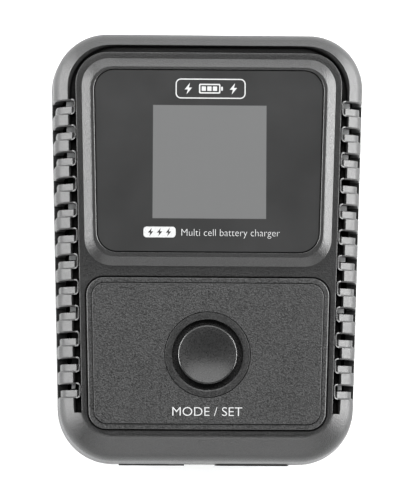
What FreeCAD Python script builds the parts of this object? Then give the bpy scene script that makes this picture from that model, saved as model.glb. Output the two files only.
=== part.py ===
import FreeCAD, Part
import math
import os
from FreeCAD import Vector

# Balance battery charger, lying on its back. Millimetres.
# +X is right, +Y points to the display end, +Z comes out of the front face.
# The origin is on the resting plane, in the middle of the footprint.

# ---- overall shape ----
HALF_LENGTH = 48.8
HALF_WIDTH = 34.6          # at mid length
TAPER = 0.0262             # half-width gained per millimetre towards the display end
TOP_CORNER = 12.6
LOW_CORNER = 12.6

# ---- heights ----
BACK_Z = 1.0
FLOOR_Z = 3.2
BOARD_Z = 8.0
BOARD_TOP = 9.6
PARTING_Z = 15.2
CONTROL_Z = 25.8
CONTROL_TOP = 27.4
SHOULDER_Z = 28.8          # where the side wall turns into the rail
CEILING_Z = 31.2
FACE_Z = 33.2
RIM_Z = 34.7
PANEL_EDGE_Z = 33.55
PANEL_Z = 33.75
WALL = 2.2

# ---- rail, channel and vents ----
SHOULDER_INSET = 0.75
FACE_INSET = 5.65
RAIL_BLEND = 4.5           # radius between the wall and the rail
RAIL_INNER = 4.5
CHANNEL_FLOOR = 30.2
CHANNEL_END = -37.4
VENT_COUNT = 12
VENT_FIRST = -32.4
VENT_PITCH = 5.782
VENT_HEIGHT = 2.9
VENT_OPEN = 1.4
VENT_LOW_Z = 19.2
VENT_RECESS = 0.6
VENT_LIP = 0.28

# ---- display window and button ----
LCD_X = 0.2
LCD_Y = 18.8
BUTTON_Y = -24.3
CAP_R = 6.55
BUTTON_HOLE_R = 7.9
RING_R = 9.48

# ---- fixings ----
CASE_POSTS = [(27.2, 40.4), (-27.2, 40.4), (25.6, -40.6), (-25.6, -40.6)]
POWER_POSTS = [(25.3, 30.5), (-25.3, 30.5), (24.4, -31.5), (-24.4, -31.5)]
CONTROL_POSTS = [(22.5, 33.2), (-22.5, 33.2), (22.5, -33.4), (-22.5, -33.4)]
FEET = [(22.5, 29.0), (-22.5, 29.0), (21.5, -29.0), (-21.5, -29.0)]

# ---- sockets in the end walls ----
INLET_Z = 15.0
INLET_FRONT = 48.4
INLET_PITCH = 8.6
OUTPUT_X = 10.6
OUTPUT_Z = 13.9
OUTPUT_FRONT = -49.05
OUTPUT_PITCH = 7.2
BALANCE_X = -12.2
BALANCE_Z = 13.2
BALANCE_FRONT = -49.05
BALANCE_PITCH = 2.5
HEATSINK_X = 28.9          # inner side of the upright plates
HEATSINK_THICK = 1.4
LEAD_TIP = 6.9             # how far soldered leads reach below the power board


# ------------------------------------------------------------------ shape helpers
def box(x0, x1, y0, y1, z0, z1):
    return Part.makeBox(x1 - x0, y1 - y0, z1 - z0, Vector(x0, y0, z0))


def rod(x, y, z0, z1, r):
    return Part.makeCylinder(r, z1 - z0, Vector(x, y, z0))


def rod_x(x0, x1, y, z, r):
    return Part.makeCylinder(r, x1 - x0, Vector(x0, y, z), Vector(1, 0, 0))


def rod_y(x, y0, y1, z, r):
    return Part.makeCylinder(r, y1 - y0, Vector(x, y0, z), Vector(0, 1, 0))


def pipe(x, y, z0, z1, r_out, r_in):
    return rod(x, y, z0, z1, r_out).cut(rod(x, y, z0 - 1, z1 + 1, r_in))


def join(shapes):
    """One solid out of touching or overlapping shapes."""
    return shapes[0].multiFuse(shapes[1:]).removeSplitter()


def group(shapes):
    """Separate solids kept together in one node."""
    return Part.Compound(shapes)


def level_edges(shape, z):
    """Edges lying flat at one height."""
    flat = []
    for edge in shape.Edges:
        limits = edge.BoundBox
        if abs(limits.ZMin - z) < 1e-3 and abs(limits.ZMax - z) < 1e-3:
            flat.append(edge)
    return flat


def upright_edges(shape):
    """Straight edges parallel to Z."""
    found = []
    for edge in shape.Edges:
        limits = edge.BoundBox
        if limits.XLength < 1e-3 and limits.YLength < 1e-3:
            found.append(edge)
    return found


def soft_box(x0, x1, y0, y1, z0, z1, r):
    block = box(x0, x1, y0, y1, z0, z1)
    return block.makeFillet(r, upright_edges(block))


def revolve(points, x, y):
    """Solid of revolution about a vertical axis from (radius, z) points."""
    corners = [Vector(x + r, y, z) for r, z in points]
    face = Part.Face(Part.makePolygon(corners + corners[:1]))
    return face.revolve(Vector(x, y, 0), Vector(0, 0, 1), 360)


# ------------------------------------------------------------------ tapered outline
def half_width(y, inset):
    return HALF_WIDTH - inset + TAPER * y


def outline(z, inset, low, high, r_low, r_high):
    """Closed outline that follows the taper of the case, with rounded corners."""
    stretch = math.hypot(1, TAPER)

    def corner(y_end, r, side):
        centre_y = y_end - side * r
        centre = Vector(half_width(centre_y, inset) - r * stretch, centre_y, z)
        out = Vector(1 / stretch, -TAPER / stretch, 0)
        along = Vector(0, side, 0)
        middle = (out + along).normalize()
        return [centre + out * r, centre + middle * r, centre + along * r]

    top = corner(high, r_high, 1)
    bottom = corner(low, r_low, -1)
    top_left = [Vector(-p.x, p.y, p.z) for p in reversed(top)]
    bottom_left = [Vector(-p.x, p.y, p.z) for p in bottom]
    edges = [
        Part.LineSegment(bottom[0], top[0]).toShape(),
        Part.Arc(*top).toShape(),
        Part.LineSegment(top[2], top_left[0]).toShape(),
        Part.Arc(*top_left).toShape(),
        Part.LineSegment(top_left[2], bottom_left[0]).toShape(),
        Part.Arc(*bottom_left).toShape(),
        Part.LineSegment(bottom_left[2], bottom[2]).toShape(),
        Part.Arc(bottom[2], bottom[1], bottom[0]).toShape(),
    ]
    return Part.Wire(edges)


def case_outline(z, inset):
    """Outline parallel to the outside of the case."""
    return outline(z, inset, inset - HALF_LENGTH, HALF_LENGTH - inset, LOW_CORNER - 0.8 * inset,
                   TOP_CORNER - 0.8 * inset)


def loft(wires):
    return Part.makeLoft(wires, True, True)


def slab(z0, z1, inset, low, high, r_low, r_high):
    return loft([outline(z, inset, low, high, r_low, r_high) for z in (z0, z1)])


def case_slab(z0, z1, inset):
    return loft([case_outline(z0, inset), case_outline(z1, inset)])


# ------------------------------------------------------------------ front shell
def front_body():
    """Drafted wall, rail and flat face as one block."""
    face = outline(FACE_Z, FACE_INSET - 0.3, 6.2 - HALF_LENGTH, HALF_LENGTH - 5.0, 7.4, 7.8)
    block = loft([case_outline(PARTING_Z, 0.3), case_outline(PARTING_Z + 0.3, 0),
                  case_outline(SHOULDER_Z, SHOULDER_INSET), face])
    block = block.makeFillet(RAIL_BLEND, level_edges(block, SHOULDER_Z))
    return block.makeFillet(1.8, level_edges(block, FACE_Z))


def vent_middles():
    return [VENT_FIRST + index * VENT_PITCH for index in range(VENT_COUNT)]


def both_sides(shape):
    return [shape, shape.mirror(Vector(0, 0, 0), Vector(1, 0, 0))]


def vent_finger(middle, inset, grow, corner):
    """Upright bar over one right-hand vent, rounded towards the face."""
    x0 = half_width(middle, inset)
    reach = VENT_HEIGHT / 2 + grow
    return soft_box(x0, x0 + 20, middle - reach, middle + reach, 15, 40, corner)


def channel():
    """Dark pockets between the rail and the face, bridged at each vent and open at the lower end."""
    rail_side = [(CHANNEL_FLOOR, 0), (31.0, 0), (31.35, 0.1), (31.58, 0.3), (31.7, 0.6), (31.75, 1.0),
                 (36, 4)]
    outer = loft([outline(z, RAIL_INNER - back, -48, HALF_LENGTH - 3.8 + back, 8, 10.4 + back)
                  for z, back in rail_side])
    face_side = [(CHANNEL_FLOOR - 1, 0), (FACE_Z - 0.15, 0), (FACE_Z + 0.03, 0.15), (37, 0.15)]
    inner = loft([outline(z, FACE_INSET + lip, -49, HALF_LENGTH - 5.3 - lip, 7, 7.2 - lip)
                  for z, lip in face_side])
    bridges = []
    for middle in vent_middles():
        bridges += both_sides(vent_finger(middle, FACE_INSET - 0.2, VENT_LIP, 0.8))
    return outer.cut([inner, box(-50, 50, -60, CHANNEL_END, 20, 40)] + bridges)


def rail_surface(low_z):
    """Points down the outer surface as (inset, z, outward normal), from the wall to the face."""
    wall_lean = math.atan2(SHOULDER_INSET, SHOULDER_Z - PARTING_Z)
    rail_lean = math.atan2(FACE_Z - SHOULDER_Z, FACE_INSET - 0.3 - SHOULDER_INSET)
    turn = (math.pi / 2 - wall_lean - rail_lean) / 2
    reach = RAIL_BLEND * math.tan(turn)
    start_z = SHOULDER_Z - reach * math.cos(wall_lean)
    start_inset = SHOULDER_INSET - reach * math.sin(wall_lean)
    centre_inset = start_inset + RAIL_BLEND * math.cos(wall_lean)
    centre_z = start_z - RAIL_BLEND * math.sin(wall_lean)
    points = [(0.2, low_z, 1.0, 0.0)]
    for step in range(6):
        angle = wall_lean + 2 * turn * step / 5
        out, up = math.cos(angle), math.sin(angle)
        points.append((centre_inset - RAIL_BLEND * out, centre_z + RAIL_BLEND * up, out, up))
    points.append((RAIL_INNER - 0.3, 32.05, 0.69, 0.72))
    points.append((8.0, 32.7, 0.1, 1.0))
    return points


def vent_profile(depth, low_z, y):
    """Region outside the right-hand wall, starting a given depth below its surface."""
    points = [(half_width(y, inset + depth * out), z - depth * up)
              for inset, z, out, up in rail_surface(low_z)]
    points += [(half_width(y, 8.0), FACE_Z + 3), (half_width(y, -6), FACE_Z + 3), (half_width(y, -6), low_z)]
    corners = [Vector(x, y, z) for x, z in points]
    return Part.makePolygon(corners + corners[:1])


def vent_cutters():
    """For each vent: a shallow recess, an open upper half and bevelled edges."""
    cutters = []
    for middle in vent_middles():
        low = middle - VENT_HEIGHT / 2
        high = middle + VENT_HEIGHT / 2
        finger = vent_finger(middle, FACE_INSET - 0.5, 0, 0.5)
        recess = loft([vent_profile(VENT_RECESS, VENT_LOW_Z, y) for y in (low - 1, high + 1)])
        through = box(26, 40, high - VENT_OPEN, high + 1, VENT_LOW_Z + 0.2, FACE_Z + 2)
        edge_y = [low - VENT_LIP - 0.05, low, high, high + VENT_LIP + 0.05]
        depths = [-0.05, VENT_LIP, VENT_LIP, -0.05]
        lips = loft([vent_profile(d, VENT_LOW_Z - d, y) for d, y in zip(depths, edge_y)])
        lips = lips.cut(box(20, half_width(middle, RAIL_INNER), low - 1, high + 1, 10, 40))
        for tool in (finger.common(recess), finger.common(through), lips):
            cutters += both_sides(tool)
    return cutters


def front_cavity():
    hollow = loft([case_outline(PARTING_Z - 0.2, WALL), case_outline(28.2, 2.95), case_outline(29.3, 4.3)])
    recess = slab(29, CEILING_Z, 7.6, -40.4, 41.0, 5, 6)
    rebate = case_slab(PARTING_Z - 0.2, PARTING_Z + 1.4, 1.25)
    return [hollow, recess, rebate]


def bezel():
    """Raised frame round the window, sloping outwards."""
    low, high = -4.5, 42.1
    flank = loft([outline(z, 7.0 + step, low + step, high - step, 6.2 - 0.6 * step, 6.2 - 0.6 * step)
                  for z, step in ((FACE_Z - 0.5, 0), (FACE_Z, 0), (RIM_Z - 0.12, 1.75), (RIM_Z, 1.95))])
    well = loft([outline(z, 9.7 - lip, -1.55 - lip, 39.6 + lip, 4.6 + lip, 4.6 + lip)
                 for z, lip in ((FACE_Z, 0), (RIM_Z - 0.12, 0), (RIM_Z + 0.03, 0.15))])
    return flank.cut(well)


def panel_pocket():
    return loft([outline(z, 6.95 - lip, -41.2 - lip, -6.9 + lip, 4.1 + lip, 4.1 + lip)
                 for z, lip in ((32.5, 0), (FACE_Z - 0.2, 0), (FACE_Z + 0.05, 0.25))])


def end_openings():
    """Cut-outs for the three sockets, shared by both shells."""
    return [
        box(-10.6, 10.6, 44, 52, BOARD_TOP - 0.1, 20.4),
        box(OUTPUT_X - 8.45, OUTPUT_X + 8.45, -52, -44, 9.5, OUTPUT_Z + 4.45),
        box(BALANCE_X - 7.65, BALANCE_X + 7.65, -52, -44, 9.5, BALANCE_Z + 3.25),
    ]


def front_shell():
    shell = join([front_body().cut(channel()), bezel()])
    shell = shell.cut(front_cavity())
    posts = [pipe(x, y, PARTING_Z, 30.2, 3.0, 0.1) for x, y in CASE_POSTS]
    posts += [pipe(x, y, CONTROL_TOP, CEILING_Z + 0.4, 2.3, 0.1) for x, y in CONTROL_POSTS]
    shell = join([shell] + posts)
    holes = [rod(x, y, PARTING_Z - 1, 26.5, 1.3) for x, y in CASE_POSTS]
    holes += [rod(x, y, CONTROL_TOP - 1, 30.8, 0.9) for x, y in CONTROL_POSTS]
    holes.append(soft_box(LCD_X - 14.7, LCD_X + 14.7, LCD_Y - 15.4, LCD_Y + 15.4, 30, 34, 0.8))
    holes.append(rod(0, BUTTON_Y, 30, 34, BUTTON_HOLE_R))
    return shell.cut(holes + [panel_pocket()] + end_openings() + vent_cutters())


# ------------------------------------------------------------------ rear shell
def rear_shell():
    block = loft([case_outline(BACK_Z, 2.9), case_outline(4.0, 0.7), case_outline(PARTING_Z - 0.3, 0),
                  case_outline(PARTING_Z, 0.3)])
    block = block.makeFillet(3.0, level_edges(block, 4.0))
    block = block.makeFillet(0.8, level_edges(block, BACK_Z))
    hollow = loft([case_outline(FLOOR_Z, 4.4), case_outline(5.4, 2.95), case_outline(PARTING_Z + 0.5, WALL)])
    block = block.cut(hollow)
    tongue = case_slab(PARTING_Z - 1, PARTING_Z + 1.2, 1.35).cut(case_slab(2, 20, WALL))
    posts = [rod(x, y, FLOOR_Z - 0.4, PARTING_Z, 3.6) for x, y in CASE_POSTS]
    posts += [rod(x, y, FLOOR_Z - 0.4, BOARD_Z, 2.6) for x, y in POWER_POSTS]
    block = join([block, tongue] + posts)
    cuts = [rod(x, y, 0, PARTING_Z + 1, 1.5) for x, y in CASE_POSTS]
    cuts += [rod(x, y, 0, 4.2, 2.8) for x, y in CASE_POSTS]
    cuts += [rod(x, y, 4.4, BOARD_Z + 1, 0.9) for x, y in POWER_POSTS]
    cuts += [rod(x, y, 0, 1.5, 4.15) for x, y in FEET]
    return block.cut(cuts + end_openings())


def rubber_foot(x, y):
    return revolve([(0, 0), (3.5, 0), (4.0, 0.4), (4.0, 1.5), (0, 1.5)], x, y)


# ------------------------------------------------------------------ screws
def screw(x, y, under_head, tip, head_r, shank_r, head_h, head_up):
    """Cross-recess screw; head_up tells which way the head faces."""
    way = 1 if head_up else -1
    top = under_head + way * head_h
    head = rod(x, y, min(under_head, top), max(under_head, top), head_r)
    head = head.makeFillet(0.35, level_edges(head, top))
    shank = rod(x, y, min(under_head, tip), max(under_head, tip), shank_r)
    low, high = sorted((top + way, top - way * 0.7))
    arm = head_r * 0.6
    slots = [box(x - arm, x + arm, y - 0.28, y + 0.28, low, high),
             box(x - 0.28, x + 0.28, y - arm, y + arm, low, high)]
    return join([head, shank]).cut(slots)


# ------------------------------------------------------------------ window, panel, button
def display_window():
    plate = slab(33.4, 34.55, 9.88, -1.37, 39.42, 4.42, 4.42)
    return plate.makeChamfer(0.15, level_edges(plate, 34.55))


def window_adhesive():
    ring = slab(FACE_Z, 33.4, 10.1, -1.15, 39.2, 4.2, 4.2)
    return ring.cut(box(LCD_X - 15, LCD_X + 15, LCD_Y - 15.7, LCD_Y + 15.7, 33, 34))


def button_panel():
    """Textured insert: a low border, a narrow groove and a slightly raised middle."""
    border = slab(32.5, PANEL_EDGE_Z, 7.17, -40.98, -7.12, 3.9, 3.9)
    border = border.makeChamfer(0.2, level_edges(border, PANEL_EDGE_Z))
    raised = slab(PANEL_EDGE_Z - 0.4, PANEL_Z, 8.42, -39.73, -8.37, 2.9, 2.9)
    plate = join([border, raised.makeChamfer(0.08, level_edges(raised, PANEL_Z))])
    groove = slab(PANEL_EDGE_Z - 0.35, PANEL_Z + 1, 8.2, -39.95, -8.15, 3.1, 3.1)
    groove = groove.cut(slab(PANEL_EDGE_Z - 1, PANEL_Z + 2, 8.42, -39.73, -8.37, 2.9, 2.9))
    return plate.cut([groove, rod(0, BUTTON_Y, 30, 36, RING_R + 0.16)])


def button_ring():
    """Flat trim ring with a rounded lip at its hole."""
    outside = [(RING_R, 32.5), (RING_R, PANEL_Z - 0.08), (RING_R - 0.08, PANEL_Z)]
    lip = [(BUTTON_HOLE_R + out, PANEL_Z - down)
           for out, down in ((0.38, 0), (0.2, 0.05), (0.07, 0.15), (0, 0.34))]
    return revolve([(BUTTON_HOLE_R, 32.5)] + outside + lip, 0, BUTTON_Y)


def button_cap():
    """Dished cap with a retaining flange and a stem that meets the switch."""
    dish = [(6.25 * k / 12, 33.2 + 1.05 * (k / 12) ** 2) for k in range(13)]
    side = [(6.42, 34.22), (CAP_R, 34.08), (CAP_R, 30.9), (8.5, 30.9), (8.5, 30.1), (5.4, 30.1), (5.4, 31.8),
            (1.7, 31.8), (1.7, 30.75), (0, 30.75)]
    return revolve(dish + side, 0, BUTTON_Y)


def switch_base():
    body = soft_box(-3.1, 3.1, BUTTON_Y - 3.1, BUTTON_Y + 3.1, CONTROL_TOP, 29.6, 0.4)
    return body.cut(rod(0, BUTTON_Y, 28.1, 30, 2.5))


def switch_cover():
    plate = soft_box(-3.1, 3.1, BUTTON_Y - 3.1, BUTTON_Y + 3.1, 29.6, 29.8, 0.4)
    plate = plate.cut(rod(0, BUTTON_Y, 29, 30, 2.0))
    tabs = [box(-1.2, 1.2, y - 0.15, y + 0.15, 28.2, 29.8) for y in (BUTTON_Y - 3.25, BUTTON_Y + 3.25)]
    return join([plate] + tabs)


def switch_dome():
    """Thin snap dome that lifts the plunger."""
    steps = range(9)
    upper = [(2.2 * k / 8, 28.1 + 0.6 * math.cos(math.pi / 2 * k / 8)) for k in steps]
    lower = [(2.08 * k / 8, 28.1 + 0.5 * math.cos(math.pi / 2 * k / 8)) for k in reversed(steps)]
    return revolve(upper + lower, 0, BUTTON_Y)


def switch_plunger():
    flange = [(0, 28.8), (2.3, 28.8), (2.3, 29.5)]
    stem = [(1.75, 29.5), (1.75, 30.55), (1.6, 30.65), (0, 30.65)]
    return revolve(flange + stem, 0, BUTTON_Y)


# ------------------------------------------------------------------ display and control board
def lcd_panel():
    return soft_box(LCD_X - 14.3, LCD_X + 14.3, LCD_Y - 15, LCD_Y + 15, 31.9, 33.2, 0.4)


def lcd_backlight():
    return soft_box(LCD_X - 14.3, LCD_X + 14.3, LCD_Y - 13.4, LCD_Y + 15, 29.6, 31.9, 0.4)


def lcd_holder():
    frame = soft_box(LCD_X - 15.8, LCD_X + 15.8, 5.0, LCD_Y + 16.6, CONTROL_TOP, 29.6, 0.8)
    frame = frame.cut(box(LCD_X - 12.5, LCD_X + 12.5, 8, LCD_Y + 13, 27, 30))
    clips = [box(LCD_X + s * 15.2 - 0.5, LCD_X + s * 15.2 + 0.5, y - 2, y + 2, 29.4, 31) for s in (1, -1)
             for y in (12, 26)]
    return join([frame] + clips)


def lcd_flex():
    """Folded tape from the panel edge down to its connector."""
    drop = box(LCD_X - 7, LCD_X + 7, 4.0, 4.15, 28.2, 31.9)
    run = box(LCD_X - 7, LCD_X + 7, 2.4, 4.15, 28.2, 28.35)
    return join([drop, run])


def lcd_connector():
    return box(LCD_X - 8.2, LCD_X + 8.2, -1.0, 2.4, CONTROL_TOP, 29.0)


def control_board():
    board = soft_box(-26, 26, -36, 36, CONTROL_Z, CONTROL_TOP, 1.5)
    holes = [rod(x, y, 25, 28, 1.15) for x, y in CONTROL_POSTS]
    holes += [rod(x, y, 25, 28, 0.45) for x, y in link_pin_places()]
    return board.cut(holes)


def control_chips():
    """Processor, memory, regulators and passives under the control board."""
    places = [(8, -14, 9, 9, 1.2), (-8, -6, 5, 6, 1.2), (-18, 2, 6, 4, 1.6), (18, -22, 4, 5, 1.5),
              (-4, -30, 6.5, 4, 1.4), (6, -30, 6.5, 4, 1.4), (-19, 20, 6, 6, 2.2), (19, 22, 5, 4, 1.4)]
    places += [(8 * column - 20, -19, 1.6, 0.8, 0.6) for column in range(6)]
    chips = []
    for x, y, across, along, tall in places:
        chip = box(x - across / 2, x + across / 2, y - along / 2, y + along / 2, CONTROL_Z - tall, CONTROL_Z)
        chips.append(chip)
    return group(chips)


def buzzer():
    body = rod(-18.8, -14, 21.8, CONTROL_Z, 4.5)
    body = body.makeFillet(0.4, level_edges(body, 21.8))
    return body.cut(rod(-18.8, -14, 21, 22.8, 1.0))


# ------------------------------------------------------------------ link between the boards
def link_pin_places():
    return [(x, 1.5 + 2.54 * row) for x in (17.0, 19.54) for row in range(6)]


def link_socket():
    block = box(15.6, 20.94, 0.0, 15.7, BOARD_TOP, 18.1)
    return block.cut([rod(x, y, 11, 19, 0.45) for x, y in link_pin_places()])


def link_pins():
    block = box(15.7, 20.84, 0.1, 15.6, 23.2, CONTROL_Z)
    spine = box(16.9, 19.7, 1.0, 14.8, 19.2, 23.4)
    pins = [rod(x, y, 13, 28.4, 0.32) for x, y in link_pin_places()]
    return join([block, spine] + pins)


# ------------------------------------------------------------------ power board
def lead_places():
    """Every soldered lead as (x, y, radius)."""
    leads = [(s * INLET_PITCH / 2, 33.4, 0.9) for s in (1, -1)]
    leads += [(OUTPUT_X + s * OUTPUT_PITCH / 2, -36.4, 0.9) for s in (1, -1)]
    leads += [(BALANCE_X + BALANCE_PITCH * k, -39.6, 0.32) for k in (-2, -1, 0, 1, 2)]
    return leads


def power_board():
    board = case_slab(BOARD_Z, BOARD_TOP, 3.3)
    holes = [rod(x, y, 7, 11, 3.9) for x, y in CASE_POSTS]
    holes += [rod(x, y, 7, 11, 1.15) for x, y in POWER_POSTS]
    holes += [rod(x, y, 7, 11, r + 0.1) for x, y, r in lead_places()]
    return board.cut(holes)


def two_lobes(grow, y0, y1):
    """Plug-shaped bar: two round lobes joined by a flat waist."""
    r = 4.1 + grow
    lobes = [rod_y(s * INLET_PITCH / 2, y0, y1, INLET_Z, r) for s in (1, -1)]
    waist = box(-INLET_PITCH / 2, INLET_PITCH / 2, y0, y1, INLET_Z - r + 0.5, INLET_Z + r - 0.5)
    return join(lobes + [waist])


def inlet_housing():
    block = box(-10.4, 10.4, 31.5, INLET_FRONT, BOARD_TOP, 20.2)
    top_edges = [e for e in block.Edges if e.BoundBox.YLength > 10 and e.BoundBox.ZMin > 15]
    block = block.makeFillet(0.8, top_edges)
    block = block.cut(two_lobes(0, 37.6, INLET_FRONT + 1))
    block = block.cut([rod_y(s * INLET_PITCH / 2, 31, 40, INLET_Z, 1.22) for s in (1, -1)])
    return block.cut([box(s * 4.3 - 1.3, s * 4.3 + 1.3, 31, 34.8, 9, INLET_Z + 1.3) for s in (1, -1)])


def inlet_pins():
    pins = []
    for x in (-INLET_PITCH / 2, INLET_PITCH / 2):
        pin = rod_y(x, 32.1, 47.0, INLET_Z, 1.2)
        pin = pin.makeFillet(0.7, [e for e in pin.Edges if e.BoundBox.YMin > 46.8])
        leg = soft_box(x - 0.8, x + 0.8, 32.9, 33.9, LEAD_TIP, INLET_Z - 0.3, 0.2)
        pins.append(join([pin, leg]))
    return group(pins)


def output_profile(half_x, half_z, cut):
    """Flat hexagonal outline with two clipped corners."""
    x0, x1 = OUTPUT_X - half_x, OUTPUT_X + half_x
    z0, z1 = OUTPUT_Z - half_z, OUTPUT_Z + half_z
    return [(x0, z0), (x1 - cut, z0), (x1, z0 + cut), (x1, z1 - cut), (x1 - cut, z1), (x0, z1)]


def output_bar(half_x, half_z, cut, y0, y1):
    corners = [Vector(x, y0, z) for x, z in output_profile(half_x, half_z, cut)]
    return Part.Face(Part.makePolygon(corners + corners[:1])).extrude(Vector(0, y1 - y0, 0))


def output_housing():
    collar = box(OUTPUT_X - 8.3, OUTPUT_X + 8.3, OUTPUT_FRONT, -45.6, OUTPUT_Z - 4.3, OUTPUT_Z + 4.3)
    collar = collar.makeFillet(0.6, [e for e in collar.Edges if e.BoundBox.YLength > 3])
    body = join([collar, output_bar(8.0, 4.05, 2.4, -46, -34.0)])
    body = body.cut(output_bar(6.9, 2.95, 1.9, OUTPUT_FRONT - 1, -41.4))
    feet = box(OUTPUT_X - 7, OUTPUT_X + 5, -40.5, -34.0, BOARD_TOP, 10.5)
    body = join([body, feet])
    centres = [OUTPUT_X - OUTPUT_PITCH / 2, OUTPUT_X + OUTPUT_PITCH / 2]
    bores = [rod_y(x, -43, -34.9, OUTPUT_Z, 1.77) for x in centres]
    legs = [box(x - 1.0, x + 1.0, -37.4, -35.4, 9, OUTPUT_Z) for x in centres]
    return body.cut(bores + legs)


def output_pins():
    pins = []
    for s in (1, -1):
        x = OUTPUT_X + s * OUTPUT_PITCH / 2
        pin = rod_y(x, -47.9, -35.0, OUTPUT_Z, 1.75)
        pin = pin.makeFillet(0.6, [e for e in pin.Edges if e.BoundBox.YMax < -47.5])
        slits = [box(x - 0.25, x + 0.25, -49, -43.6, 8, 20),
                 box(x - 3, x + 3, -49, -43.6, OUTPUT_Z - 0.25, OUTPUT_Z + 0.25)]
        leg = rod(x, -36.4, LEAD_TIP, OUTPUT_Z, 0.9)
        pins.append(join([pin.cut(slits), leg]))
    return group(pins)


def balance_housing():
    x0, x1 = BALANCE_X - 7.45, BALANCE_X + 7.45
    z0, z1 = BALANCE_Z - 3.05, BALANCE_Z + 3.05
    body = box(x0, x1, BALANCE_FRONT, -40.6, z0, z1)
    body = body.cut(box(x0 + 0.9, x1 - 0.9, BALANCE_FRONT - 1, -42.4, z0 + 0.8, z1 - 0.8))
    keys = [box(x - 0.8, x + 0.8, BALANCE_FRONT - 1, -43.4, z1 - 1.2, z1 + 1)
            for x in (BALANCE_X - 4.6, BALANCE_X + 4.6)]
    body = body.cut(keys)
    feet = box(x0 + 1, x1 - 1, -42.2, -40.6, BOARD_TOP, z0 + 0.3)
    body = join([body, feet])
    places = [BALANCE_X + BALANCE_PITCH * k for k in (-2, -1, 0, 1, 2)]
    return body.cut([box(x - 0.34, x + 0.34, -43, -40, BALANCE_Z - 0.34, BALANCE_Z + 0.34) for x in places])


def balance_pins():
    pins = []
    for k in (-2, -1, 0, 1, 2):
        x = BALANCE_X + BALANCE_PITCH * k
        bar = box(x - 0.32, x + 0.32, -47.8, -39.3, BALANCE_Z - 0.32, BALANCE_Z + 0.32)
        bar = bar.makeChamfer(0.18, [e for e in bar.Edges if e.BoundBox.YMax < -47.5])
        leg = rod(x, -39.6, LEAD_TIP, BALANCE_Z, 0.3)
        pins.append(join([bar, leg]))
    return group(pins)


# ------------------------------------------------------------------ power parts
def mains_fuse():
    body = rod(-16, 38, BOARD_TOP, 17.2, 4.1)
    return body.makeFillet(0.5, level_edges(body, 17.2))


def surge_varistor():
    disc = rod_x(13.0, 16.6, 40, 15.4, 4.8)
    return join([disc, box(13.4, 16.2, 38.2, 41.8, BOARD_TOP, 12)])


def x_capacitor():
    return soft_box(17.8, 23.0, 32.4, 44.0, BOARD_TOP, 20.4, 0.5)


def choke_core():
    frame = box(-9, 9, 21.4, 26.6, BOARD_TOP + 0.6, 23)
    frame = frame.cut(box(-5.4, 5.4, 21, 27, 13.4, 19.8))
    return join([frame, box(-9, 9, 22.2, 25.8, BOARD_TOP, 10.6)])


def choke_windings():
    """Two stacked coils round the upright legs."""
    coils = []
    for s in (1, -1):
        x = s * 7.2
        heights = [13.5 + 0.7 * k for k in range(9)]
        turns = [soft_box(x - 3.0, x + 3.0, 20.2, 27.8, z, z + 0.6, 0.8) for z in heights]
        core = soft_box(x - 2.8, x + 2.8, 20.4, 27.6, 13.5, 19.7, 0.8)
        hollow = box(x - 1.85, x + 1.85, 21.4, 26.6, 13, 20)
        coils.append(join([core] + turns).cut(hollow))
    return group(coils)


def bridge_rectifier():
    slab_body = box(-24, -10.6, 26.6, 30.0, 11.4, 22)
    slab_body = slab_body.cut(rod_y(-17.3, 26, 31, 18.6, 1.6))
    legs = [box(x - 0.5, x + 0.5, 28, 28.6, BOARD_TOP, 11.6) for x in (-22.6, -18.6, -14.6, -11.8)]
    return join([slab_body] + legs)


def bulk_capacitor():
    can = rod_x(-22, 3, 9.2, 16.8, 7.0)
    can = can.makeFillet(0.7, [e for e in can.Edges if e.BoundBox.XLength < 0.01])
    can = can.cut(rod_x(0.6, 1.2, 9.2, 16.8, 8).cut(rod_x(0, 2, 9.2, 16.8, 6.6)))
    return join([can, box(-18, -2, 8.2, 10.2, BOARD_TOP, 10.4)])


def transformer_core():
    """Ferrite frame with an upright middle leg."""
    block = box(-13, 13, -19.2, -3.8, 12.4, 24.4)
    window = box(-9.6, 9.6, -20, -3, 15.0, 21.8)
    leg = box(-3.4, 3.4, -19.2, -3.8, 14.9, 21.9)
    return join([block.cut(window), leg])


def transformer_bobbin():
    """Tube round the middle leg, with two flanges and two rows of feet."""
    tube = box(-3.7, 3.7, -19.5, -3.5, 15.3, 21.5)
    flanges = [soft_box(-9.4, 9.4, -23.7, 0.7, z, z + 0.6, 1.0) for z in (15.15, 21.05)]
    feet = [box(-9.4, 9.4, y, y + 3.6, BOARD_TOP, 15.3) for y in (-23.7, -2.9)]
    return join([tube] + flanges + feet).cut(box(-3.5, 3.5, -19.3, -3.7, 14, 23))


def transformer_winding():
    coil = soft_box(-8.9, 8.9, -23.3, 0.3, 15.8, 21.0, 3.0)
    return coil.cut(box(-3.75, 3.75, -19.55, -3.45, 15, 22))


def transistor_places():
    return [(s, y) for s in (1, -1) for y in (-15.0, 10.0)]


def side_box(side, x0, x1, y0, y1, z0, z1):
    """Box given for the right-hand side, mirrored for side -1."""
    return box(*sorted((side * x0, side * x1)), y0, y1, z0, z1)


def side_rod(side, x0, x1, y, z, r):
    return rod_x(*sorted((side * x0, side * x1)), y, z, r)


def power_transistors():
    """Four upright power devices, tabs flat on the heatsinks."""
    devices = []
    for side, y in transistor_places():
        back = HEATSINK_X
        body = side_box(side, back - 4.4, back, y - 5, y + 5, 11.2, 19.8)
        tab = side_box(side, back - 1.3, back, y - 5, y + 5, 19.6, 25.0)
        tab = tab.cut(side_rod(side, back - 3, back + 1, y, 22.5, 1.6))
        legs = [side_box(side, back - 2.7, back - 2.1, y + k - 0.4, y + k + 0.4, BOARD_TOP, 11.4)
                for k in (-2.5, 0, 2.5)]
        devices.append(join([body, tab] + legs))
    return group(devices)


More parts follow.
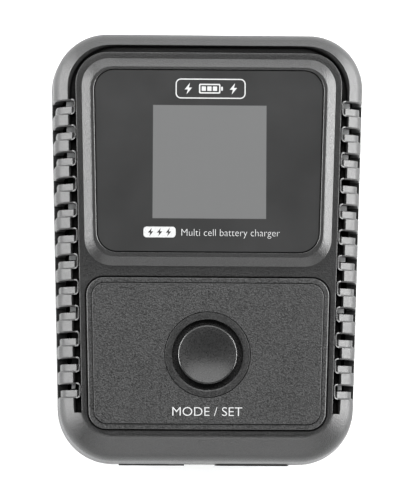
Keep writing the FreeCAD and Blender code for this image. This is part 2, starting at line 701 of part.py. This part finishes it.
def transistor_screws():
    screws = []
    for side, y in transistor_places():
        head = side_rod(side, HEATSINK_X - 2.9, HEATSINK_X - 1.3, y, 22.5, 2.4)
        shank = side_rod(side, HEATSINK_X - 1.4, HEATSINK_X + HEATSINK_THICK, y, 22.5, 1.4)
        slot = side_box(side, HEATSINK_X - 3.5, HEATSINK_X - 2.3, y - 0.3, y + 0.3, 20.6, 24.4)
        screws.append(join([head, shank]).cut(slot))
    return group(screws)


def heatsink(side):
    """Upright aluminium plate behind one row of vents, with tabs folded out towards the wall."""
    outer = HEATSINK_X + HEATSINK_THICK
    plate = side_box(side, HEATSINK_X, outer, -34, 33, BOARD_TOP, 25.0)
    tabs = []
    for middle in [vent_middles()[k] for k in (0, 3, 5, 7, 9, 10, 11)]:
        y0, y1 = middle + 0.45, middle + 2.6
        tabs.append(side_box(side, outer - 0.8, outer, y0, y1, 24.9, 27.6))
        tabs.append(side_box(side, outer - 0.8, half_width(middle, 3.4), y0, y1, 27.0, 27.6))
    plate = join([plate] + tabs)
    holes = [side_rod(side, HEATSINK_X - 1, outer + 1, y, 22.5, 1.5)
             for s, y in transistor_places() if s == side]
    notches = [side_box(side, HEATSINK_X - 1, outer + 1, y - 2.4, y + 2.4, 9, 12) for y in (-30, 0, 28)]
    return plate.cut(holes + notches)


def output_capacitors():
    cans = []
    for x in (-2.5, 6.5, 15.5):
        can = rod(x, -28.2, BOARD_TOP, 22.0, 4.0)
        can = can.makeFillet(0.5, level_edges(can, 22.0))
        groove = pipe(x, -28.2, 11.2, 11.8, 5, 3.7)
        cross = [box(x - 3, x + 3, -28.4, -28.0, 21.8, 23), box(x - 0.2, x + 0.2, -31.2, -25.2, 21.8, 23)]
        cans.append(can.cut([groove] + cross))
    return group(cans)


def power_inductor():
    body = soft_box(-21.4, -9.8, -35.6, -24.0, BOARD_TOP, 16.8, 1.8)
    return body.makeFillet(0.6, level_edges(body, 16.8))


def balance_resistors():
    return group([box(x - 1.6, x + 1.6, -38.3, -36.7, BOARD_TOP, 10.2) for x in (-18, -14, -10, -6)])


# ------------------------------------------------------------------ all pieces
def pieces():
    return {
        "front_shell": front_shell(),
        "rear_shell": rear_shell(),
        "rubber_feet": group([rubber_foot(x, y) for x, y in FEET]),
        "case_screws": group([screw(x, y, 4.2, 24.0, 2.5, 1.25, 1.7, False) for x, y in CASE_POSTS]),
        "display_window": display_window(),
        "window_adhesive": window_adhesive(),
        "button_panel": button_panel(),
        "button_ring": button_ring(),
        "button_cap": button_cap(),
        "switch_base": switch_base(),
        "switch_cover": switch_cover(),
        "switch_dome": switch_dome(),
        "switch_plunger": switch_plunger(),
        "lcd_panel": lcd_panel(),
        "lcd_backlight": lcd_backlight(),
        "lcd_holder": lcd_holder(),
        "lcd_flex": lcd_flex(),
        "lcd_connector": lcd_connector(),
        "control_board": control_board(),
        "control_chips": control_chips(),
        "control_board_screws": group([screw(x, y, CONTROL_Z, 30.6, 1.9, 0.85, 1.3, False)
                                       for x, y in CONTROL_POSTS]),
        "buzzer": buzzer(),
        "link_socket": link_socket(),
        "link_pins": link_pins(),
        "power_board": power_board(),
        "power_board_screws": group([screw(x, y, BOARD_TOP, 4.6, 1.9, 0.85, 1.3, True)
                                     for x, y in POWER_POSTS]),
        "mains_inlet_housing": inlet_housing(),
        "mains_inlet_pins": inlet_pins(),
        "mains_fuse": mains_fuse(),
        "surge_varistor": surge_varistor(),
        "interference_capacitor": x_capacitor(),
        "choke_core": choke_core(),
        "choke_windings": choke_windings(),
        "bridge_rectifier": bridge_rectifier(),
        "bulk_capacitor": bulk_capacitor(),
        "transformer_core": transformer_core(),
        "transformer_bobbin": transformer_bobbin(),
        "transformer_winding": transformer_winding(),
        "power_transistors": power_transistors(),
        "transistor_screws": transistor_screws(),
        "heatsink_right": heatsink(1),
        "heatsink_left": heatsink(-1),
        "output_capacitors": output_capacitors(),
        "power_inductor": power_inductor(),
        "balance_resistors": balance_resistors(),
        "output_socket_housing": output_housing(),
        "output_socket_pins": output_pins(),
        "balance_socket_housing": balance_housing(),
        "balance_socket_pins": balance_pins(),
    }


os.makedirs("parts", exist_ok=True)
for name, shape in pieces().items():
    shape.exportStep(os.path.join("parts", name + ".step"))
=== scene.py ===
"""Looks of a balance battery charger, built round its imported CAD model."""

import math

import bpy
from mathutils import Matrix, Vector


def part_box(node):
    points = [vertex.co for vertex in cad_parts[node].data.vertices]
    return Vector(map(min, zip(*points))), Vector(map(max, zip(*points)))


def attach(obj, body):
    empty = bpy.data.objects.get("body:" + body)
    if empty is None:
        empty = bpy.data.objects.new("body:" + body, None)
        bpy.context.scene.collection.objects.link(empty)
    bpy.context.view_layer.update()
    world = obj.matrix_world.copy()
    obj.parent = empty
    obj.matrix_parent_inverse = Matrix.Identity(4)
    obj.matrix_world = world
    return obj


MM = 0.001
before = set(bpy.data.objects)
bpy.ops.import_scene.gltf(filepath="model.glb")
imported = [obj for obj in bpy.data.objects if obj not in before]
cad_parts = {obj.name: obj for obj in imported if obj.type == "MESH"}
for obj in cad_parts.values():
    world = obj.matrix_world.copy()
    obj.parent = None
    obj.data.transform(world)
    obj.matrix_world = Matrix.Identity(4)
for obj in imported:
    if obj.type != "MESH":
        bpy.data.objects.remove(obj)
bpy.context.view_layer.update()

# ------------------------------------------------------------------ sizes taken from the frame
WINDOW_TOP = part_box("display_window")[1].z
PANEL_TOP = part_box("button_panel")[1].z
LCD_LOW, LCD_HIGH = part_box("lcd_panel")
DISPLAY_X = (LCD_LOW.x + LCD_HIGH.x) / 2
DISPLAY_Y = (LCD_LOW.y + LCD_HIGH.y) / 2

# ------------------------------------------------------------------ sizes of prints and finishes
DISPLAY_SIDE = 25.4 * MM
DISPLAY_BLUR = 0.04 * MM            # width of the soft edge round the lit square
PAINTED_LIGHT_SPLIT_Z = 25.4 * MM                   # the heatsinks are painted bright above this height as painted highlight and dark below it as painted shade
PAINTED_SHADE_REACH = 2.6 * MM                # how far a wall casts painted shade on the surface opposite
INK = 0.04 * MM                     # thickness of printed marks
HEADER_AT = (0.35, 35.25)           # middles of the printed marks, in millimetres
BADGE_AT = (-10.9, 3.0)
CAPTION_AT = (5.0, 2.95)
BUTTON_WORDS_AT = (0, -37.0)

# ------------------------------------------------------------------ light and camera
LIGHT_DISTANCE = 1.1
SOFTBOXES = [
    # name, azimuth and elevation in degrees, width and height in metres, radiance
    ("right light", 10, 12, 1.3, 0.40, 25.5),
    ("left light", 170, 12, 1.3, 0.40, 19.0),
    ("upper light", 90, 28, 1.3, 0.40, 10.5),
    ("high light", 90, 65, 1.1, 0.50, 2.0),
    ("lower light", 270, 28, 1.3, 0.40, 6.4),
]
EYE = Vector((-0.022, -0.0508, 0.880))
LOOK_AT = Vector((0, 0.0002, 0.015))
ROLL = math.radians(0.3)
LENS = 273


# ------------------------------------------------------------------ node helpers
class Nodes:
    """Short way to write a material's node tree."""

    def __init__(self, name):
        self.material = bpy.data.materials.new(name)
        self.material.use_nodes = True
        self.tree = self.material.node_tree
        self.shader = self.tree.nodes["Principled BSDF"]
        self.place = self.add("ShaderNodeTexCoord").outputs["Object"]

    def add(self, kind, **values):
        node = self.tree.nodes.new(kind)
        for key, value in values.items():
            setattr(node, key, value)
        return node

    def link(self, source, target):
        self.tree.links.new(source, target)

    def noise(self, scale, detail=2.0, stretch=(1, 1, 1)):
        mapping = self.add("ShaderNodeMapping")
        mapping.inputs["Scale"].default_value = stretch
        self.link(self.place, mapping.inputs["Vector"])
        node = self.add("ShaderNodeTexNoise")
        node.inputs["Scale"].default_value = scale
        node.inputs["Detail"].default_value = detail
        node.inputs["Roughness"].default_value = 0.5
        self.link(mapping.outputs["Vector"], node.inputs["Vector"])
        return node.outputs["Fac"]

    def spread(self, value, low, high, from_low=0.3, from_high=0.7):
        node = self.add("ShaderNodeMapRange")
        node.inputs["From Min"].default_value = from_low
        node.inputs["From Max"].default_value = from_high
        node.inputs["To Min"].default_value = low
        node.inputs["To Max"].default_value = high
        self.link(value, node.inputs["Value"])
        return node.outputs["Result"]

    def mix(self, factor, dark, light):
        node = self.add("ShaderNodeMix", data_type="RGBA")
        self.link(factor, node.inputs["Factor"])
        for socket, colour in ((node.inputs["A"], dark), (node.inputs["B"], light)):
            if isinstance(colour, tuple):
                socket.default_value = (*colour, 1)
            else:
                self.link(colour, socket)
        return node.outputs["Result"]

    def maths(self, operation, a, b=0.0):
        node = self.add("ShaderNodeMath", operation=operation)
        for socket, value in ((node.inputs[0], a), (node.inputs[1], b)):
            if isinstance(value, (int, float)):
                socket.default_value = value
            else:
                self.link(value, socket)
        return node.outputs["Value"]

    def axis(self, name):
        node = self.add("ShaderNodeSeparateXYZ")
        self.link(self.place, node.inputs["Vector"])
        return node.outputs[name]

    def bump(self, height, depth, strength=1.0):
        node = self.add("ShaderNodeBump")
        node.inputs["Strength"].default_value = strength
        node.inputs["Distance"].default_value = depth
        self.link(height, node.inputs["Height"])
        self.link(node.outputs["Normal"], self.shader.inputs["Normal"])

    def set(self, **values):
        for key, value in values.items():
            self.shader.inputs[key.replace("_", " ")].default_value = value


def grained(name, dark, light, rough, grain, depth, metallic=0.0, coat=0.0, shine=0.5,
            stretch=(1, 1, 1), shaded=False):
    """Surface with a fine grain, slow mottling and a roughness that varies.

    A shaded surface also gets painted shade in narrow gaps: its colour is darkened and its reflection
    dulled there."""
    n = Nodes(name)
    fine = n.noise(grain, 2.0, stretch)
    slow = n.noise(160, 3.0)
    both = n.maths("ADD", n.maths("MULTIPLY", fine, 0.9), n.maths("MULTIPLY", slow, 0.1))
    colour = n.mix(n.spread(both, 0, 1), dark, light)
    if shaded:
        # painted shade: ambient occlusion darkens the colour and lowers the reflection in narrow gaps
        gap = n.add("ShaderNodeAmbientOcclusion", samples=8)
        gap.inputs["Distance"].default_value = PAINTED_SHADE_REACH
        painted_shade_openness = n.spread(gap.outputs["AO"], 0, 1, 0.25, 0.7)
        colour = n.mix(painted_shade_openness, grey(0.003), colour)
        n.link(n.spread(painted_shade_openness, 0.15, shine, 0, 1), n.shader.inputs["Specular IOR Level"])
    n.link(colour, n.shader.inputs["Base Color"])
    n.link(n.spread(fine, rough[0], rough[1]), n.shader.inputs["Roughness"])
    n.bump(fine, depth)
    n.set(Metallic=metallic, Coat_Weight=coat, Coat_Roughness=0.08, Specular_IOR_Level=shine)
    return n.material


def grey(value):
    return (value, value * 1.01, value * 1.015)


# ------------------------------------------------------------------ materials
def window_material():
    """Polished dark window with a lighter square where the display lies."""
    n = Nodes("window smoked")
    x = n.maths("ABSOLUTE", n.maths("SUBTRACT", n.axis("X"), DISPLAY_X))
    y = n.maths("ABSOLUTE", n.maths("SUBTRACT", n.axis("Y"), DISPLAY_Y))
    edge = n.maths("MAXIMUM", x, y)
    inside = n.spread(edge, 1, 0, DISPLAY_SIDE / 2 - DISPLAY_BLUR, DISPLAY_SIDE / 2 + DISPLAY_BLUR)
    on_top = n.maths("GREATER_THAN", n.axis("Z"), WINDOW_TOP - 0.05 * MM)
    mask = n.maths("MULTIPLY", inside, on_top)
    cells = n.add("ShaderNodeTexVoronoi", feature="F1", distance="CHEBYCHEV")
    cells.inputs["Scale"].default_value = 4200
    cells.inputs["Randomness"].default_value = 0.0
    n.link(n.place, cells.inputs["Vector"])
    lit = n.mix(n.spread(cells.outputs["Distance"], 0, 1, 0.1, 0.5), grey(0.133), grey(0.117))
    dark = n.mix(n.spread(n.noise(70, 3), 0, 1), grey(0.027), grey(0.035))
    n.link(n.mix(mask, dark, lit), n.shader.inputs["Base Color"])
    n.link(n.spread(n.noise(90, 3), 0.14, 0.18), n.shader.inputs["Roughness"])
    n.set(IOR=1.49)
    return n.material


def board_material():
    """Green board with tracks, copper islands and pale legend dots."""
    n = Nodes("circuit board")
    tracks = n.add("ShaderNodeTexBrick")
    tracks.inputs["Scale"].default_value = 160
    tracks.inputs["Mortar Size"].default_value = 0.03
    tracks.inputs["Color1"].default_value = (0.010, 0.075, 0.030, 1)
    tracks.inputs["Color2"].default_value = (0.013, 0.095, 0.038, 1)
    tracks.inputs["Mortar"].default_value = (0.006, 0.050, 0.020, 1)
    n.link(n.place, tracks.inputs["Vector"])
    dots = n.add("ShaderNodeTexVoronoi", feature="F1")
    dots.inputs["Scale"].default_value = 420
    n.link(n.place, dots.inputs["Vector"])
    spot = n.spread(dots.outputs["Distance"], 1, 0, 0.10, 0.14)
    n.link(n.mix(spot, tracks.outputs["Color"], (0.55, 0.50, 0.38)), n.shader.inputs["Base Color"])
    n.link(n.spread(n.noise(800, 2), 0.28, 0.45), n.shader.inputs["Roughness"])
    n.bump(tracks.outputs["Fac"], 0.02 * MM, 0.6)
    n.set(Coat_Weight=0.3, Coat_Roughness=0.2)
    return n.material


def heatsink_material():
    """Heatsink plate painted dark below as painted shade and bright on its folded tabs as painted
    highlight, shown as black lacquer and bare metal.
    """
    n = Nodes("heatsink painted shade and highlight")
    # painted light: dark below the split height as painted shade, bright above it as painted highlight
    painted_highlight_mask = n.spread(n.axis("Z"), 0, 1, PAINTED_LIGHT_SPLIT_Z - 0.1 * MM, PAINTED_LIGHT_SPLIT_Z + 0.1 * MM)
    fine = n.noise(1500, 2.0, (1, 0.03, 1))
    painted_shade_colour = n.mix(n.spread(fine, 0, 1), grey(0.010), grey(0.020))
    painted_highlight_colour = n.mix(n.spread(fine, 0, 1), grey(0.82), grey(0.96))
    n.link(n.mix(painted_highlight_mask, painted_shade_colour, painted_highlight_colour), n.shader.inputs["Base Color"])
    n.link(n.maths("MULTIPLY", painted_highlight_mask, 0.3), n.shader.inputs["Metallic"])
    n.link(n.spread(fine, 0.30, 0.45), n.shader.inputs["Roughness"])
    n.bump(fine, 0.01 * MM)
    return n.material


def wound_material(name, dark, light, pitch):
    """Windings: fine parallel turns."""
    n = Nodes(name)
    wave = n.add("ShaderNodeTexWave", bands_direction="Z")
    wave.inputs["Scale"].default_value = pitch
    wave.inputs["Distortion"].default_value = 0.6
    n.link(n.place, wave.inputs["Vector"])
    n.link(n.mix(wave.outputs["Fac"], dark, light), n.shader.inputs["Base Color"])
    n.link(n.spread(n.noise(700, 2), 0.25, 0.4), n.shader.inputs["Roughness"])
    n.bump(wave.outputs["Fac"], 0.1 * MM)
    return n.material


def make_materials():
    """One material per kind of surface, keyed by a plain name."""
    return {
        # the case plastic carries painted shade in its narrow gaps
        "case": grained("case plastic", grey(0.003), grey(0.021), (0.34, 0.52), 3200, 0.075 * MM,
                        shine=0.55, shaded=True),
        "panel": grained("panel plastic", grey(0.002), grey(0.045), (0.38, 0.62), 3000, 0.150 * MM),
        "ring": grained("ring plastic", grey(0.003), grey(0.030), (0.34, 0.50), 3000, 0.080 * MM),
        "cap": grained("button plastic", grey(0.010), grey(0.022), (0.24, 0.36), 3200, 0.022 * MM,
                       shine=0.9),
        "window": window_material(),
        "black": grained("black plastic", grey(0.018), grey(0.030), (0.35, 0.5), 2000, 0.02 * MM),
        "chip": grained("chip epoxy", grey(0.020), grey(0.034), (0.4, 0.55), 2600, 0.02 * MM),
        "rubber": grained("foot rubber", grey(0.016), grey(0.026), (0.65, 0.85), 1800, 0.04 * MM),
        "tape": grained("foam tape", grey(0.012), grey(0.022), (0.8, 0.95), 1500, 0.05 * MM),
        "white": grained("white plastic", grey(0.62), grey(0.74), (0.35, 0.5), 1200, 0.01 * MM),
        "display": grained("display face", grey(0.20), grey(0.24), (0.2, 0.3), 3000, 0.004 * MM),
        "heatsink": heatsink_material(),
        "steel": grained("stamped steel", grey(0.50), grey(0.66), (0.25, 0.4), 900, 0.01 * MM, 1.0,
                         stretch=(0.05, 1, 1)),
        "screw": grained("screw steel", grey(0.10), grey(0.18), (0.3, 0.45), 1800, 0.02 * MM, 1.0),
        "nickel": grained("nickel plate", (0.55, 0.52, 0.47), (0.68, 0.65, 0.59), (0.18, 0.3), 1400,
                          0.006 * MM, 1.0),
        "gold": grained("gold plate", (0.62, 0.42, 0.14), (0.80, 0.58, 0.22), (0.16, 0.3), 1400,
                        0.006 * MM, 1.0),
        "film": grained("amber film", (0.35, 0.14, 0.01), (0.50, 0.24, 0.03), (0.2, 0.35), 900,
                        0.004 * MM),
        "ferrite": grained("ferrite", grey(0.028), grey(0.050), (0.5, 0.7), 1900, 0.03 * MM),
        "sleeve": grained("capacitor sleeve", (0.010, 0.014, 0.040), (0.016, 0.022, 0.062), (0.2, 0.34),
                          700, 0.008 * MM, coat=0.4),
        "varistor": grained("dipped coating", (0.02, 0.07, 0.22), (0.03, 0.10, 0.32), (0.25, 0.4), 600,
                            0.03 * MM),
        "boxed": grained("capacitor box", (0.50, 0.36, 0.04), (0.62, 0.46, 0.07), (0.35, 0.5), 1300,
                         0.012 * MM),
        "fuse": grained("fuse body", (0.20, 0.10, 0.06), (0.28, 0.15, 0.09), (0.3, 0.45), 1300,
                        0.012 * MM),
        "wrap": grained("yellow tape", (0.58, 0.40, 0.03), (0.70, 0.52, 0.06), (0.22, 0.35), 500,
                        0.02 * MM, stretch=(1, 1, 0.1)),
        "copper": wound_material("copper turns", (0.30, 0.09, 0.03), (0.62, 0.24, 0.10), 2600),
        "board": board_material(),
        "ink": grained("white ink", grey(0.44), grey(0.52), (0.5, 0.65), 2600, 0.004 * MM),
    }


def floor_material():
    """White paper that glows a little, so that it stays plain."""
    n = Nodes("floor paper")
    n.link(n.mix(n.spread(n.noise(60, 2), 0, 1), grey(0.93), grey(0.96)), n.shader.inputs["Base Color"])
    n.link(n.spread(n.noise(400, 2), 0.85, 0.95), n.shader.inputs["Roughness"])
    n.set(Emission_Color=(1, 1, 1, 1), Emission_Strength=0.2)
    return n.material


FINISHES = {
    "case": ["front_shell", "rear_shell"],
    "panel": ["button_panel"],
    "ring": ["button_ring"],
    "cap": ["button_cap"],
    "window": ["display_window"],
    "tape": ["window_adhesive"],
    "rubber": ["rubber_feet"],
    "screw": ["case_screws", "control_board_screws", "power_board_screws", "transistor_screws"],
    "black": ["switch_base", "switch_plunger", "lcd_holder", "buzzer", "link_socket", "link_pins",
              "mains_inlet_housing", "transformer_bobbin", "output_socket_housing",
              "balance_socket_housing"],
    "steel": ["switch_cover", "switch_dome"],
    "display": ["lcd_panel"],
    "white": ["lcd_backlight", "lcd_connector"],
    "film": ["lcd_flex"],
    "board": ["control_board", "power_board"],
    "chip": ["control_chips", "bridge_rectifier", "power_transistors", "balance_resistors"],
    "nickel": ["mains_inlet_pins", "balance_socket_pins"],
    "fuse": ["mains_fuse"],
    "varistor": ["surge_varistor"],
    "boxed": ["interference_capacitor"],
    "ferrite": ["choke_core", "transformer_core", "power_inductor"],
    "copper": ["choke_windings"],
    "sleeve": ["bulk_capacitor", "output_capacitors"],
    "wrap": ["transformer_winding"],
    "heatsink": ["heatsink_right", "heatsink_left"],
    "gold": ["output_socket_pins"],
}


def dress_frame(materials):
    """Give every CAD node its material and clean shading; the ring's small lip is shaded round."""
    for finish, names in FINISHES.items():
        sharp = math.radians(50 if finish == "ring" else 20)
        for name in names:
            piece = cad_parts[name]
            piece.data.materials.clear()
            piece.data.materials.append(materials[finish])
            piece.data.shade_smooth()
            piece.data.set_sharp_from_angle(angle=sharp)


# ------------------------------------------------------------------ printed marks
def to_mesh(curve, name):
    """Turn a filled curve into a closed mesh object."""
    holder = bpy.data.objects.new(name + " outline", curve)
    bpy.context.scene.collection.objects.link(holder)
    bpy.context.view_layer.update()
    evaluated = holder.evaluated_get(bpy.context.evaluated_depsgraph_get())
    mesh = bpy.data.meshes.new_from_object(evaluated)
    bpy.data.objects.remove(holder)
    bpy.data.curves.remove(curve)
    piece = bpy.data.objects.new(name, mesh)
    bpy.context.scene.collection.objects.link(piece)
    return piece


def flat_shape(name, loops):
    """Closed thin mesh from outlines in millimetres; inner outlines become holes."""
    curve = bpy.data.curves.new(name, "CURVE")
    curve.dimensions = "2D"
    curve.fill_mode = "BOTH"
    curve.extrude = INK / 2
    for points in loops:
        spline = curve.splines.new("POLY")
        spline.points.add(len(points) - 1)
        for point, (x, y) in zip(spline.points, points):
            point.co = (x * MM, y * MM, 0, 1)
        spline.use_cyclic_u = True
    return to_mesh(curve, name)


def lettering(name, words, width, height, thinning):
    """Closed thin mesh of generic words, scaled to a width and cap height in millimetres."""
    curve = bpy.data.curves.new(name, "FONT")
    curve.body = words
    curve.size = 0.01
    curve.extrude = INK / 2
    curve.offset = -thinning * MM
    curve.resolution_u = 4
    piece = to_mesh(curve, name)
    xs = [v.co.x for v in piece.data.vertices]
    ys = [v.co.y for v in piece.data.vertices]
    middle = (max(xs) + min(xs)) / 2
    scale_x = width * MM / (max(xs) - min(xs))
    scale_y = height * MM / max(ys)
    for vertex in piece.data.vertices:
        vertex.co.x = (vertex.co.x - middle) * scale_x
        vertex.co.y = vertex.co.y * scale_y - height * MM / 2
    return piece


def rounded(x0, x1, y0, y1, r, steps=6):
    """Points round a rectangle with rounded corners."""
    points = []
    corners = ((x1 - r, y1 - r, 0), (x0 + r, y1 - r, 90), (x0 + r, y0 + r, 180), (x1 - r, y0 + r, 270))
    for cx, cy, start in corners:
        for k in range(steps + 1):
            angle = math.radians(start + 90 * k / steps)
            points.append((cx + r * math.cos(angle), cy + r * math.sin(angle)))
    return points


def bolt(x, y, size):
    """Lightning shape centred on a point."""
    shape = [(0.15, 0.5), (-0.32, -0.08), (-0.04, -0.08), (-0.15, -0.5), (0.32, 0.08), (0.04, 0.08)]
    return [(x + size * px, y + size * py) for px, py in shape]


def place_print(piece, at, surface, ink):
    """Lay a printed mark on a surface and fix it to the case."""
    x, y = at
    for vertex in piece.data.vertices:
        vertex.co += Vector((x * MM, y * MM, surface + INK / 2))
    piece.data.materials.clear()
    piece.data.materials.append(ink)
    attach(piece, "case")


def header_mark(ink):
    """Rounded frame with a battery between two bolts, above the display."""
    loops = [rounded(-7.85, 7.85, -2.25, 2.25, 1.2), rounded(-7.6, 7.6, -2.0, 2.0, 0.95)]
    loops += [rounded(-2.6, 2.2, -1.1, 1.1, 0.35), rounded(-2.3, 1.9, -0.8, 0.8, 0.15)]
    loops += [rounded(2.35, 2.75, -0.45, 0.45, 0.15)]
    loops += [rounded(-2.0 + 1.25 * k, -1.05 + 1.25 * k, -0.5, 0.5, 0.1) for k in range(3)]
    loops += [bolt(-5.0, 0, 2.6), bolt(5.1, 0, 2.6)]
    place_print(flat_shape("header_mark", loops), HEADER_AT, WINDOW_TOP, ink)


def caption_marks(ink):
    """Filled badge and a line of generic words below the display."""
    bolts = [bolt(x, 0, 1.9) for x in (-2, 0, 2)]
    badge = flat_shape("caption_badge", [rounded(-3.6, 3.6, -1.2, 1.2, 0.7)] + bolts)
    place_print(badge, BADGE_AT, WINDOW_TOP, ink)
    words = lettering("caption_words", "Multi cell battery charger", 22.0, 1.55, 0.16)
    place_print(words, CAPTION_AT, WINDOW_TOP, ink)


def button_words(ink):
    """Generic words below the button."""
    words = lettering("button_words", "MODE / SET", 15.6, 1.95, 0.08)
    place_print(words, BUTTON_WORDS_AT, PANEL_TOP, ink)


# ------------------------------------------------------------------ light, floor, camera
def softbox(name, azimuth, elevation, width, height, radiance):
    """Rectangular area light aimed at the object, given by its brightness."""
    light = bpy.data.lights.new(name, "AREA")
    light.shape = "RECTANGLE"
    light.size = width
    light.size_y = height
    light.energy = radiance * math.pi * width * height
    lamp = bpy.data.objects.new(name, light)
    turn, lift = math.radians(azimuth), math.radians(elevation)
    reach = LIGHT_DISTANCE * math.cos(lift)
    lamp.location = (reach * math.cos(turn), reach * math.sin(turn), LIGHT_DISTANCE * math.sin(lift))
    lamp.rotation_euler = (Vector((0, 0, 0.02)) - lamp.location).to_track_quat("-Z", "Y").to_euler()
    bpy.context.scene.collection.objects.link(lamp)


def studio():
    """Pale floor, dim surroundings, low soft lights on all sides and a high one over the display end."""
    for values in SOFTBOXES:
        softbox(*values)
    world = bpy.data.worlds.new("surroundings")
    world.use_nodes = True
    world.node_tree.nodes["Background"].inputs["Color"].default_value = (0.04, 0.04, 0.04, 1)
    bpy.context.scene.world = world
    bpy.ops.mesh.primitive_plane_add(size=6, location=(0, 0, -0.0002))
    floor = bpy.context.object
    floor.name = "floor"
    floor.data.materials.append(floor_material())


def camera():
    """Long lens above the face, a little towards the button end and turned by a third of a degree."""
    data = bpy.data.cameras.new("camera")
    data.lens = LENS
    data.sensor_width = 36
    data.clip_start = 0.05
    data.clip_end = 8
    eye = bpy.data.objects.new("camera", data)
    eye.location = EYE
    back = (EYE - LOOK_AT).normalized()
    right = Vector((-math.sin(ROLL), math.cos(ROLL), 0)).cross(back).normalized()
    eye.rotation_euler = Matrix((right, back.cross(right), back)).transposed().to_euler()
    bpy.context.scene.collection.objects.link(eye)
    bpy.context.scene.camera = eye


def settings():
    """Plain colour transform."""
    scene = bpy.context.scene
    scene.view_settings.view_transform = "Standard"
    scene.view_settings.look = "None"


# ------------------------------------------------------------------ assembly
materials = make_materials()
dress_frame(materials)
header_mark(materials["ink"])
caption_marks(materials["ink"])
button_words(materials["ink"])
studio()
camera()
settings()
